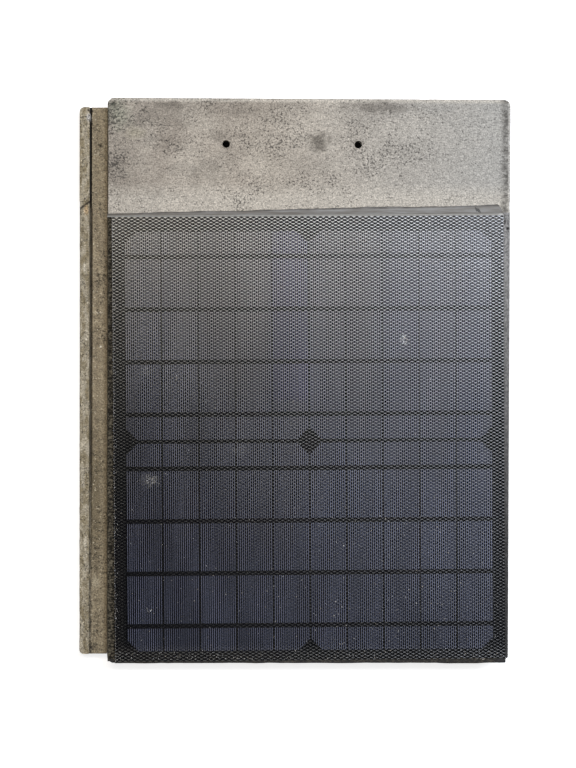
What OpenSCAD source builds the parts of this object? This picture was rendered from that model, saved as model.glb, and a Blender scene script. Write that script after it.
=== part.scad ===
// Solar roof tile: a flat interlocking concrete roof tile with a photovoltaic laminate
// bonded to its exposed face. Millimetres. X runs across the roof, Y towards the head of the
// tile, Z out of the face. The origin is at the centre of the footprint, on the ground.

/* [Tile] */
// Length of the tile from head to tail
tile_l = 420; // [340:1:520]
// Width over both side locks
tile_w = 320; // [260:1:400]
// Thickness of the flat body
body_t = 13; // [10:0.1:18]
// How far the nibs and the tail nose reach below the body
foot_h = 13; // [10.8:0.1:20]
// Radius of the head and tail arrises
arris_r = 2; // [1:0.25:3]
// Size of the clipped corner at the channel side of the head
head_clip = 3.8; // [1:0.1:8]
// Corner radius at the overlock side of the head
head_r = 5.5; // [1:0.5:12]

/* [Side locks] */
// Width of the channel beside the body
channel_w = 20.5; // [17:0.1:30]
// How far the channel floor lies below the face
channel_drop = 12; // [10:0.1:14.5]
// Thickness of concrete under the channel floor
channel_t = 9; // [6:0.5:10]
// Setback of the channel from the head edge
channel_head_gap = 6.6; // [2:0.1:20]
// Setback of the channel from the tail edge
channel_tail_gap = 6.4; // [2:0.1:20]
// Width of the outer rib
rib_w = 7.6; // [5:0.1:9]
// Height of the outer rib above the channel floor
rib_rise = 2.4; // [1:0.1:3]
// Extra height of the rib's block at the head
block_rise = 1.6; // [0.5:0.1:2]
// Length of the rib's block at the head
block_l = 70; // [20:1:120]
// Clipped corner at the block's lower end
block_clip = 3.3; // [1:0.1:5]
// Extra width of the block, into the groove
block_grow = 0.5; // [0.1:0.1:0.8]
// Width of the narrow groove beside the rib
groove_w = 1.4; // [1:0.1:2]
// Depth of the narrow groove
groove_d = 2.5; // [1:0.1:4]
// Gap between the faces of two laid tiles
joint_w = 1.5; // [1:0.1:3]
// Clearance between the overlock and the next tile's channel
lock_gap = 1; // [0.5:0.1:1.5]
// Length cut from the tail end of the overlock
notch_l = 3.4; // [1:0.1:10]
// How far the body's tail corner leans away from the channel
tail_taper = 3.2; // [1:0.1:6]
// Corner radius at the free ends of the channel and the overlock
end_r = 3.6; // [1:0.1:4]
// Bevel where the body's tail corner meets the tail edge
tail_bevel = 1.4; // [0.5:0.1:2]
// Lean of the side walls and flanks over their height
wall_slope = 1.5; // [0.5:0.1:2]
// Width of the haunch that carries the channel
haunch_w = 9; // [4:0.5:14]
// Radius of the long edges
side_r = 1; // [0.5:0.1:1.1]

/* [Nail holes] */
// Diameter of a nail hole
nail_d = 5.6; // [4:0.1:7]
// Distance between the nail holes
nail_pitch = 98; // [60:1:140]
// Distance of the nail holes from the head edge
nail_from_head = 34; // [28:1:50]
// Sideways offset of the pair from the tile's centre line
nail_offset = -2.3; // [-20:0.1:20]

/* [Nibs and weather bars] */
// Width of a hanging nib
nib_w = 36; // [25:1:50]
// Length of a nib at its root
nib_l = 16; // [12:1:20]
// Distance between the nib centres
nib_pitch = 168; // [100:1:190]
// Distance of the nibs from the head edge
nib_from_head = 5; // [3:0.5:8]
// Flat underside kept behind the nibs for the batten
batten_w = 50; // [38:1:60]
// Draft of the nib and bar flanks over their whole depth
draft = 2; // [1:0.1:3]
// Length of the tail nose at its root
nose_l = 14; // [10:0.5:20]
// Number of weather bars behind the nose
weather_bars = 2; // [1:1:3]
// Height of a weather bar
weather_h = 6; // [3:0.5:8]
// Length of a weather bar at its root
weather_l = 9; // [7:0.5:12]
// Distance between neighbouring bars
weather_pitch = 21; // [18:0.5:30]
// Number of stiffening ribs along the underside
stiffeners = 2; // [2:2:4]
// Height of a stiffening rib
stiffener_h = 4; // [2:0.5:6]
// Width of a stiffening rib at its root
stiffener_w = 12; // [8:0.5:16]

/* [Laminate] */
// Bare head above the laminate
bare_head = 87.2; // [80:0.1:110]
// Bare rim beside the laminate at the overlock
rim_right = 3.6; // [3.4:0.1:10]
// Bare rim beside the laminate at the channel
rim_left = 5.1; // [3.4:0.1:10]
// Bare rim below the laminate at the tail
rim_tail = 3.5; // [3.4:0.1:10]
// Angle at which the laminate was laid on the tile
skew = 0.5; // [0:0.1:0.8]
// Corner radius of the laminate
sheet_r = 1.5; // [0.5:0.5:6]
// Thickness of the adhesive bed
bed_t = 1.2; // [0.6:0.1:3]
// How far the squeezed-out adhesive stays inside the tile's flat face
bed_inset = 0.3; // [0.1:0.1:1]
// Thickness of the back sheet
back_t = 0.8; // [0.4:0.1:2]
// Thickness of the clear front, from the back sheet up
cover_t = 1.5; // [0.9:0.1:4]

/* [Head sealant] */
// Width of the sealant bead at the channel end
bead_left = 3; // [1.5:0.1:8]
// Width of the sealant bead at the overlock end
bead_right = 8.4; // [4:0.1:14]
// Height of the bead at its outer edge
bead_low = 0.8; // [0.4:0.1:1]
// How far the bead's top stays below the laminate's face
bead_step = 0.3; // [0.2:0.1:0.8]
// Angle at which the bead rises from its outer edge
bead_slope = 25; // [15:1:45]

/* [Cells] */
// Rows of cells
rows = 2; // [1:1:2]
// Wafers side by side in a row
wafers = 2; // [1:1:2]
// Strips cut from each wafer
strips = 5; // [2:1:5]
// Gap between neighbouring strips
strip_gap = 1.2; // [0.6:0.1:2]
// Leg of the wafer's clipped corner
clip = 8.2; // [3:0.1:14]
// Thickness of a cell
cell_t = 0.2; // [0.15:0.01:0.3]
// Ribbons across each row
ribbons = 4; // [2:1:5]
// Width of a ribbon
ribbon_w = 3.5; // [1:0.1:5]
// Thickness of a ribbon
ribbon_t = 0.2; // [0.15:0.01:0.3]
// Margin of the cells at each side of the laminate
field_side = 9.5; // [4:0.1:20]
// Margin of the cells at the laminate's head edge
field_head = 10.2; // [4:0.1:20]
// Margin of the cells at the laminate's tail edge
field_tail = 6.5; // [4:0.1:20]

/* [Junction box] */
// Width of the box across the tile
box_w = 62; // [50:1:72]
// Length of the box
box_l = 46; // [40:1:70]
// Corner radius of the box
box_r = 4; // [2:0.5:8]
// Thickness of the lid
lid_t = 1.6; // [1:0.1:2]
// How far the lid stays inside the housing's outline
lid_inset = 1.2; // [0.5:0.1:3]
// Distance of the box's centre from the head edge
box_from_head = 150; // [120:1:200]
// Distance between the two lead outlets
outlet_pitch = 34; // [20:1:38]
// Outer diameter of a lead outlet
outlet_d = 8; // [6.5:0.1:9.6]
// Height of the housing above and below an outlet
outlet_edge = 0.5; // [0.2:0.1:0.9]
// Bore of a lead outlet
outlet_bore = 5.2; // [4:0.1:5.5]
// Length of a lead outlet
outlet_l = 9; // [6:0.5:14]

/* [Hidden] */
// Sides of a full turn in the rounded profiles
$fn = 48;
face_z = foot_h + body_t;
floor_z = face_z - channel_drop;
under_z = floor_z - channel_t;
head_y = tile_l / 2;
tail_y = -tile_l / 2;
left_x = -tile_w / 2;
right_x = tile_w / 2;
body_x = left_x + channel_w;

// The overlock is drawn over the next tile's channel, which starts at next_x.
next_x = right_x - channel_w + joint_w;
flange_t = channel_drop - rib_rise - block_rise - lock_gap;
tongue_x = next_x + rib_w + groove_w + lock_gap;
tongue_z = floor_z + lock_gap;
hollow_x = next_x - joint_w;
under_mid = (body_x + hollow_x) / 2;

// Laminate
sheet_w = right_x - rim_right - body_x - rim_left;
sheet_l = tile_l - bare_head - rim_tail;
sheet_x = body_x + rim_left + sheet_w / 2;
sheet_y = tail_y + rim_tail + sheet_l / 2;
back_z = face_z + bed_t;
cell_z = back_z + back_t;
ribbon_z = cell_z + cell_t;
top_z = cell_z + cover_t;

// The strips are cut to fill the laminate inside its margins.
columns = wafers * strips;
row_w = sheet_w - 2 * field_side;
field_l = sheet_l - field_head - field_tail;
pitch_x = (row_w + strip_gap) / columns;
pitch_y = (field_l + strip_gap) / rows;
strip_w = pitch_x - strip_gap;
strip_l = pitch_y - strip_gap;
first_x = -row_w / 2;
first_y = -sheet_l / 2 + field_tail;

box_y = head_y - box_from_head;
box_h = outlet_d + 2 * outlet_edge;
outlet_z = foot_h - box_h / 2;

cell_names = [for (r = [1:rows]) for (c = [1:columns]) str("cell_row", r, "_strip", c)];
ribbon_names = [for (r = [1:rows]) for (b = [1:ribbons]) str("ribbon_row", r, "_", b)];

// Points of an arc, for the rounded corners of an outline
function arc(x, y, r, from, to, steps = 6) =
    [for (i = [0:steps]) let (a = from + (to - from) * i / steps) [x + r * cos(a), y + r * sin(a)]];

// Rounded rectangle about the origin
module rounded(w, l, r) {
    x = w / 2 - r;
    y = l / 2 - r;
    polygon(concat(
        arc(x, y, r, 0, 90, 4), arc(-x, y, r, 90, 180, 4),
        arc(-x, -y, r, 180, 270, 4), arc(x, -y, r, 270, 360, 4)
    ));
}

// Extrudes an X-Z outline along Y, from y0 over length l
module along_y(y0, l) {
    translate([0, y0 + l, 0]) rotate([90, 0, 0]) linear_extrude(height = l) children();
}

// Extrudes a Y-Z outline along X, from x0 over width w
module along_x(x0, w) {
    translate([x0, 0, 0]) rotate([90, 0, 90]) linear_extrude(height = w) children();
}

// Cross-section of the casting: channel at the left, flat body, overlock at the right
module cross_section() {
    rib_top = floor_z + rib_rise;
    rib_x = left_x + rib_w;
    polygon(concat(
        [[left_x + side_r, under_z], [body_x + wall_slope, under_z], [body_x + haunch_w, foot_h]],
        [[hollow_x - wall_slope, foot_h], [hollow_x, face_z - flange_t]],
        [[tongue_x - wall_slope, face_z - flange_t], [tongue_x, tongue_z]],
        [[right_x - side_r, tongue_z], [right_x, tongue_z + side_r]],
        arc(right_x - side_r, face_z - side_r, side_r, 0, 90, 4),
        arc(body_x + side_r + wall_slope / 2, face_z - side_r, side_r, 90, 180, 4),
        [[body_x, floor_z]],
        [[rib_x + groove_w, floor_z], [rib_x + groove_w * 0.7, floor_z - groove_d]],
        [[rib_x + groove_w * 0.2, floor_z - groove_d], [rib_x, rib_top - side_r]],
        arc(rib_x - side_r, rib_top - side_r, side_r, 0, 90, 4),
        arc(left_x + side_r, rib_top - side_r, side_r, 90, 180, 4),
        [[left_x, under_z + side_r]]
    ));
}

// Outline of the casting from above: the channel stops short of the head and the tail, and
// the overlock short of the tail
module plan_outline() {
    top = head_y - channel_head_gap;
    bottom = tail_y + channel_tail_gap;
    polygon(concat(
        arc(left_x + end_r, bottom + end_r, end_r, 180, 270),
        [[body_x, bottom], [body_x + tail_taper, tail_y + tail_bevel]],
        [[body_x + tail_taper + tail_bevel, tail_y]],
        [[tongue_x - notch_l, tail_y], [tongue_x, tail_y + notch_l]],
        arc(right_x - end_r, tail_y + notch_l + end_r, end_r, 270, 360),
        arc(right_x - head_r, head_y - head_r, head_r, 0, 90),
        [[body_x + head_clip, head_y], [body_x, head_y - head_clip], [body_x, top]],
        arc(left_x + end_r, top - end_r, end_r, 90, 180)
    ));
}

// Side view of the casting, with the head and tail arrises rounded
module side_outline() {
    polygon(concat(
        [[tail_y, 0], [head_y, 0]],
        arc(head_y - arris_r, face_z - arris_r, arris_r, 0, 90),
        arc(tail_y + arris_r, face_z - arris_r, arris_r, 90, 180)
    ));
}

// A bar across the underside with drafted flanks, hanging h below the body
module cross_bar(x0, w, y0, l, h) {
    slope = draft * h / foot_h;
    along_x(x0, w) polygon([
        [y0, foot_h + 1], [y0, foot_h], [y0 + slope, foot_h - h],
        [y0 + l - slope, foot_h - h], [y0 + l, foot_h], [y0 + l, foot_h + 1]
    ]);
}

module nibs() {
    for (side = [-1, 1])
        cross_bar(under_mid + side * nib_pitch / 2 - nib_w / 2, nib_w,
            head_y - nib_from_head - nib_l, nib_l, foot_h);
}

module tail_bars() {
    bar_x = body_x + haunch_w - draft;
    bar_w = hollow_x - wall_slope - bar_x;
    cross_bar(bar_x, bar_w, tail_y, nose_l, foot_h);
    for (i = [1:weather_bars])
        cross_bar(bar_x, bar_w, tail_y + nose_l / 2 + i * weather_pitch - weather_l / 2,
            weather_l, weather_h);
}

module stiffening_ribs() {
    start = tail_y + nose_l / 2 + weather_bars * weather_pitch;
    end = head_y - nib_from_head - nib_l - batten_w;
    spacing = (hollow_x - body_x) / (stiffeners + 1);
    for (i = [1:stiffeners])
        translate([body_x + i * spacing, 0, 0]) along_y(start, end - start) polygon([
            [-stiffener_w / 2, foot_h + 1], [-stiffener_w / 2, foot_h],
            [-stiffener_w / 2 + draft, foot_h - stiffener_h],
            [stiffener_w / 2 - draft, foot_h - stiffener_h],
            [stiffener_w / 2, foot_h], [stiffener_w / 2, foot_h + 1]
        ]);
}

// Raised block of the outer rib at the head, with a clipped inner corner at its lower end
module rib_block() {
    top = head_y - channel_head_gap;
    edge = left_x + rib_w + block_grow;
    translate([0, 0, floor_z]) linear_extrude(height = rib_rise + block_rise) polygon(concat(
        arc(left_x + end_r, top - end_r, end_r, 90, 180),
        [[left_x, top - block_l], [edge - block_clip, top - block_l]],
        [[edge, top - block_l + block_clip], [edge, top - side_r], [edge - side_r, top]]
    ));
}

module nail_holes() {
    for (side = [-1, 1])
        translate([nail_offset + side * nail_pitch / 2, head_y - nail_from_head, 0])
            cylinder(h = face_z + 1, d = nail_d);
}

module concrete_tile() {
    color("#a69e92") difference() {
        union() {
            intersection() {
                along_y(tail_y, tile_l) cross_section();
                linear_extrude(height = face_z) plan_outline();
                along_x(left_x, tile_w) side_outline();
            }
            rib_block();
            nibs();
            tail_bars();
            stiffening_ribs();
        }
        nail_holes();
    }
}

// Places its children in the laminate's own axes, with the laminate's centre at x = y = 0
module on_laminate(z) {
    translate([sheet_x, sheet_y, z]) rotate([0, 0, skew]) children();
}

// The bed covers the flat face around the laminate, up to the laminate's head edge
module adhesive_bed() {
    x0 = body_x + wall_slope / 2 + side_r + bed_inset;
    x1 = right_x - side_r - bed_inset;
    y0 = tail_y + arris_r + bed_inset;
    color("#2e2b27") translate([0, 0, face_z]) linear_extrude(height = bed_t) intersection() {
        translate([x0, y0]) square([x1 - x0, tile_l]);
        translate([sheet_x, sheet_y]) rotate(skew)
            translate([-tile_w, sheet_l / 2 - tile_l]) square([2 * tile_w, tile_l]);
    }
}

// Wedge of sealant that rises from the bare concrete to the laminate's head edge. A block
// that reaches past the bead all round cuts its slope.
module head_sealant() {
    rise = top_z - face_z - bead_step;
    edge_angle = atan((bead_right - bead_left) / sheet_w);
    past = 10;
    behind = 60;
    color("#86837d") on_laminate(face_z) translate([0, sheet_l / 2, 0]) difference() {
        linear_extrude(height = rise) polygon([
            [-sheet_w / 2, 0], [sheet_w / 2, 0],
            [sheet_w / 2, bead_right], [-sheet_w / 2, bead_left]
        ]);
        translate([-sheet_w / 2, bead_left, bead_low]) rotate([0, 0, edge_angle])
            rotate([-bead_slope, 0, 0]) translate([-past, -behind, 0])
                cube([sheet_w + 2 * past, behind + past, behind]);
    }
}

module back_sheet() {
    color("#1b1b1c") on_laminate(back_z)
        linear_extrude(height = back_t) rounded(sheet_w, sheet_l, sheet_r);
}

// One strip of a wafer. The strips at a wafer's ends have its clipped corners.
module cell_strip(row, column) {
    place = (column - 1) % strips;
    left = place == 0 ? clip : 0;
    right = place == strips - 1 ? clip : 0;
    on_laminate(cell_z)
        translate([first_x + (column - 1) * pitch_x, first_y + (row - 1) * pitch_y, 0])
            linear_extrude(height = cell_t) polygon([
                [left, 0], [strip_w - right, 0], [strip_w, right], [strip_w, strip_l - right],
                [strip_w - right, strip_l], [left, strip_l], [0, strip_l - left], [0, left]
            ]);
}

module ribbon(row, number) {
    y = first_y + (row - 1) * pitch_y + strip_l * (number - 0.5) / ribbons;
    on_laminate(ribbon_z) translate([first_x, y - ribbon_w / 2, 0])
        cube([row_w, ribbon_w, ribbon_t]);
}

// The clear front, with the cells and ribbons pressed into its underside
module front_sheet() {
    color("#5a5f6c", 0.5) difference() {
        on_laminate(cell_z) linear_extrude(height = cover_t) rounded(sheet_w, sheet_l, sheet_r);
        for (r = [1:rows]) {
            for (c = [1:columns]) cell_strip(r, c);
            for (b = [1:ribbons]) ribbon(r, b);
        }
    }
}

// Potted box on the underside, between the stiffening ribs
module junction_box() {
    color("#1d1d1f") translate([under_mid, box_y, foot_h - box_h])
        linear_extrude(height = box_h) rounded(box_w, box_l, box_r);
}

module junction_lid() {
    color("#262628") translate([under_mid, box_y, foot_h - box_h - lid_t])
        linear_extrude(height = lid_t)
            rounded(box_w - 2 * lid_inset, box_l - 2 * lid_inset, box_r - lid_inset);
}

// Collar and nut of a lead outlet, turned about the lead's axis, which points to the tail
module lead_outlet(side) {
    step = 0.5;
    collar_l = outlet_l * 0.6;
    nut_r = outlet_d / 2 - step;
    color("#161617")
        translate([under_mid + side * outlet_pitch / 2, box_y - box_l / 2, outlet_z])
            rotate([90, 0, 0]) rotate_extrude() polygon([
                [outlet_bore / 2, 0], [outlet_d / 2, 0], [outlet_d / 2, collar_l],
                [nut_r, collar_l + step], [nut_r, outlet_l], [outlet_bore / 2, outlet_l]
            ]);
}

concrete_tile();
adhesive_bed();
head_sealant();
back_sheet();
front_sheet();
junction_box();
junction_lid();
lead_outlet(-1);  // lead_outlet_left
lead_outlet(1);  // lead_outlet_right
for (r = [1:rows]) {
    for (c = [1:columns])
        color("#23252f") cell_strip(r, c);
    for (b = [1:ribbons])
        color("#101116") ribbon(r, b);
}
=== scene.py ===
import math
import random

import bmesh
import bpy
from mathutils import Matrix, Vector, noise

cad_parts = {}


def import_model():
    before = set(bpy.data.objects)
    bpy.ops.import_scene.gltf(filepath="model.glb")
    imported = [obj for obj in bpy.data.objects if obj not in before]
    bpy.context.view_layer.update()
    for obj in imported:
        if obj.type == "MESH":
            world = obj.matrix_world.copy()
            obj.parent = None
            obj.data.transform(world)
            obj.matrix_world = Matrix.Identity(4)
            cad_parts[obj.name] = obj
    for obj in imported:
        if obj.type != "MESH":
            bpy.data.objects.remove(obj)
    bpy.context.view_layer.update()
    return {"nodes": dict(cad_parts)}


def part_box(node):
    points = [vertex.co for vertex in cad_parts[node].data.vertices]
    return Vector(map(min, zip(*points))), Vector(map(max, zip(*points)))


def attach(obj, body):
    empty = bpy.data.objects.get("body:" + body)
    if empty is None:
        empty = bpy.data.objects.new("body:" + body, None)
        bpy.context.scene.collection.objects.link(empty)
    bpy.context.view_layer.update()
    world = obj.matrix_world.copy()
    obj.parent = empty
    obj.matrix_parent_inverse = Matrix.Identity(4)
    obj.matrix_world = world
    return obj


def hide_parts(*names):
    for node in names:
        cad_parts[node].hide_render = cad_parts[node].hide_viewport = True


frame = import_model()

# Solar roof tile: a cast concrete roof tile with a photovoltaic laminate bonded to its face.
# Lengths in this script are millimetres, and MM turns them to Blender's metres.
MM = 0.001


# ---------------------------------------------------------------- helpers

def linear(colour, strength=1.0):
    """Linear RGBA of an sRGB hex colour."""
    parts = [int(colour[i:i + 2], 16) / 255 for i in (1, 3, 5)]
    lit = [c / 12.92 if c <= 0.04045 else ((c + 0.055) / 1.055) ** 2.4 for c in parts]
    return (*[c * strength for c in lit], 1.0)


def plug(tree, value, socket):
    """Gives a socket its plain value, or links it to a node or one of its outputs."""
    if isinstance(value, bpy.types.Node):
        value = next(s for s in value.outputs if s.enabled)
    if isinstance(value, bpy.types.NodeSocket):
        tree.links.new(value, socket)
    else:
        socket.default_value = value


def add(tree, kind, inputs=None, **settings):
    """Adds a node with its settings. An input is a plain value, another node or its output."""
    made = tree.nodes.new("ShaderNode" + kind)
    for name, value in settings.items():
        setattr(made, name, value)
    for name, value in (inputs or {}).items():
        if isinstance(name, int):
            socket = made.inputs[name]
        else:
            socket = next(s for s in made.inputs if s.enabled and s.name == name)
        plug(tree, value, socket)
    return made


def new_material(name, **values):
    """A material with one Principled shader, whose plain values are set on its own sockets."""
    made = bpy.data.materials.new(name)
    made.use_nodes = True
    shader = made.node_tree.nodes["Principled BSDF"]
    for socket, value in values.items():
        shader.inputs[socket.replace("_", " ")].default_value = value
    return made, made.node_tree, shader


def bare_material(name):
    """A material whose nodes are all still to come."""
    made = bpy.data.materials.new(name)
    made.use_nodes = True
    made.node_tree.nodes.clear()
    return made, made.node_tree


def dress(tree, shader, colour, relief=None, strength=0.5, depth=0.1):
    """Gives a shader its colour and its fine relief, that many mm deep."""
    plug(tree, colour, shader.inputs["Base Color"])
    if relief is not None:
        bump = add(tree, "Bump", {"Height": relief, "Strength": strength, "Distance": depth * MM})
        plug(tree, bump, shader.inputs["Normal"])


def per(size):
    """The scale of a pattern whose features are size millimetres apart."""
    return 1 / (size * MM)


def new_piece(name, mesh, material):
    """A new piece of the object, in place and riding on the one body."""
    piece = bpy.data.objects.new(name, mesh)
    bpy.context.scene.collection.objects.link(piece)
    mesh.materials.append(material)
    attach(piece, "root")
    return piece


def paint(node, material):
    """Gives a CAD node its finish."""
    mesh = frame["nodes"][node].data
    mesh.materials.clear()
    mesh.materials.append(material)


def tidy_mesh(name, points, faces):
    """A mesh from points in millimetres."""
    mesh = bpy.data.meshes.new(name)
    mesh.from_pydata([Vector(p) * MM for p in points], [], faces)
    shell = bmesh.new()
    shell.from_mesh(mesh)
    bmesh.ops.recalc_face_normals(shell, faces=shell.faces)
    shell.to_mesh(mesh)
    shell.free()
    mesh.update()
    return mesh


def loft(rings, points, faces):
    """Skins closed rings of points, one after the other, and caps both ends."""
    first = len(points)
    size = len(rings[0])
    for ring in rings:
        points.extend(ring)
    for i in range(len(rings) - 1):
        for k in range(size):
            a = first + i * size + k
            b = first + i * size + (k + 1) % size
            faces.append((a, b, b + size, a + size))
    faces.append(tuple(range(first, first + size)))
    faces.append(tuple(range(first + (len(rings) - 1) * size, first + len(rings) * size)))


def ripple(x, y, size, seed):
    """Smooth noise from -1 to 1 with features of that size, for wavy edges."""
    return noise.noise(Vector((x / size, y / size, seed)))


def patches(tree, place, size, start, end, low=0.0, high=1.0,
            stretch=1.0, shift=0.0, detail=4.0, rough=0.6):
    """Irregular patches about that size in mm, drawn out along X by stretch, from low to high."""
    where = add(tree, "Mapping", {
        "Vector": place, "Location": (shift, 0, 0), "Scale": (1 / stretch, 1.0, 1.0)})
    cloud = add(tree, "TexNoise", {
        "Vector": where, "Scale": per(size), "Detail": detail, "Roughness": rough})
    return add(tree, "MapRange", {
        "Value": cloud, "From Min": start, "From Max": end, "To Min": low, "To Max": high})


def region(tree, place, strength=1.0, **ramps):
    """A strength within ramps along the axes, each from where it is 0 to where it is full, in mm."""
    axes = add(tree, "SeparateXYZ", {"Vector": place})
    for axis, pairs in ramps.items():
        for start, end in pairs:
            share = add(tree, "MapRange", {
                "Value": axes.outputs[axis], "From Min": start * MM, "From Max": end * MM})
            strength = add(tree, "Math", {0: share, 1: strength}, operation="MULTIPLY")
    return strength


def sheared(tree, place, slope):
    """The place in plan, with a line that rises by slope along X made level."""
    axes = add(tree, "SeparateXYZ", {"Vector": place})
    level = add(tree, "Math", {
        0: axes.outputs["X"], 1: -slope, 2: axes.outputs["Y"]}, operation="MULTIPLY_ADD")
    return add(tree, "CombineXYZ", {"X": axes.outputs["X"], "Y": level})


def spot(tree, place, x, y, wide, long, strength, ragged=None):
    """An elliptical spot on the face, with the strength in its middle and 0 past its rim."""
    scaled = add(tree, "Mapping", {
        "Vector": place, "Location": (-x / wide, -y / long, 0), "Scale": (per(wide), per(long), 0)})
    reach = add(tree, "VectorMath", {0: scaled}, operation="LENGTH").outputs["Value"]
    if ragged is not None:
        reach = add(tree, "Math", {0: reach, 1: ragged}, operation="ADD")
    return add(tree, "MapRange", {"Value": reach, "From Min": 1.1, "From Max": 0.3, "To Max": strength})


def coats(tree, ground, *layers):
    """Lays colours over a ground, in order. Each layer is its strength and its colour."""
    for strength, colour in layers:
        under, over = (linear(tone) if isinstance(tone, str) else tone for tone in (ground, colour))
        ground = add(tree, "Mix", {"Factor": strength, "A": under, "B": over}, data_type="RGBA")
    return ground


# ---------------------------------------------------------------- places, from the frame

def box(node):
    """Lowest and highest corner of a CAD node, in millimetres."""
    low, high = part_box(node)
    return low / MM, high / MM


SKEW = math.radians(0.5)

tile_low, tile_high = box("concrete_tile")
face_z = tile_high.z
body_x = box("adhesive_bed")[0].x - 2.05
sheet_low, sheet_high = box("front_sheet")
sheet_mid = (sheet_low + sheet_high) / 2


def unskewed(low, high):
    """Width and length of a rectangle, from the box round it as it lies skewed."""
    wide, long = high.x - low.x, high.y - low.y
    c, s = math.cos(SKEW), math.sin(SKEW)
    return (wide * c - long * s) / (c * c - s * s), (long * c - wide * s) / (c * c - s * s)


def on_laminate(x, y, z):
    """A point given in the laminate's own axes, from its centre."""
    c, s = math.cos(SKEW), math.sin(SKEW)
    return sheet_mid.x + x * c - y * s, sheet_mid.y + x * s + y * c, z


sheet_w, sheet_l = unskewed(sheet_low, sheet_high)
strip_w, strip_l = unskewed(*box("cell_row1_strip2"))


# ---------------------------------------------------------------- camera

# It looks straight down on the face from 2 m, turned by a degree or two
CAMERA_HEIGHT = 2000
CAMERA_X = -68.8
CAMERA_Y = 40.2
CAMERA_TURN = (-1.2035, -1.824, 0.1647)
LENS = 126.4

camera = bpy.data.objects.new("camera", bpy.data.cameras.new("camera"))
camera.data.lens = LENS
camera.data.sensor_width = 36
camera.location = Vector((CAMERA_X, CAMERA_Y, face_z + CAMERA_HEIGHT)) * MM
camera.rotation_euler = [math.radians(turn) for turn in CAMERA_TURN]
bpy.context.scene.collection.objects.link(camera)
bpy.context.scene.camera = camera


# ---------------------------------------------------------------- concrete

# Dark smudges on the bare head: centre, half width and half length, strength
SMUDGES = (
    (18, 179, 8, 8, 0.75),
    (60, 204, 28, 5, 0.45),
    (-92, 205, 14, 3, 0.5),
    (-56, 181, 9, 6, 0.35),
    (-66, 155, 16, 12, 0.25),
    (-136, 203, 5, 5, 0.5),
    (-100, 196, 30, 9, 0.2),
)
# Smaller marks anywhere on the casting: centre, half width and half length, strength, colour. The dark
# ones that lie on chips of the casting are painted shade in those hollows
MARKS = (
    (-144.6, 175, 1.3, 1.5, 0.9, "#2b241d"),
    (-146.4, 169.5, 0.9, 2.4, 0.6, "#cfc4ae"),
    (-135.2, 204.8, 2.0, 1.6, 0.8, "#2d2a26"),
    (-151.8, 200.6, 2.6, 1.0, 0.95, "#1c1815"),
    (-153.2, 195.6, 2.2, 3.8, 0.8, "#d0cdc8"),
    (-155.4, 127.2, 2.4, 4.4, 0.75, "#c8ac84"),
    # Pale grains and a scratch along the channel
    (-156.3, 85, 0.8, 4.0, 0.6, "#e2dac6"),
    (-155.0, 31, 0.7, 0.9, 0.7, "#e6dfcd"),
    (-157.4, 16, 0.6, 2.2, 0.6, "#e6dfcd"),
    (-145.9, 50.8, 5.0, 0.5, 0.5, "#d9d0bb"),
    (-144.3, 25.6, 0.9, 0.9, 0.95, "#efe8d6"),
    (-140.6, 33, 0.6, 2.4, 0.5, "#d9d0bb"),
    (-155.5, -121, 1.2, 6.0, 0.45, "#d9d0bb"),
    (-147.2, -150, 3.4, 5.5, 0.4, "#c9bfa6"),
    (-151.4, -198.8, 1.6, 1.6, 0.8, "#2d261f"),
    (-136.2, 140.6, 1.2, 1.2, 0.5, "#4a453e"),
    (-51.3, 176, 4.6, 4.4, 0.35, "#5a554d"),
    (46.7, 176, 4.2, 4.6, 0.3, "#5a554d"),
    (-130, 197, 11, 13, 0.4, "#9aa08d"),
    (-119, 184, 9, 5, 0.3, "#b3ae94"),
)


# Where the block at the rib's head ends
BLOCK_END = 128


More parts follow.
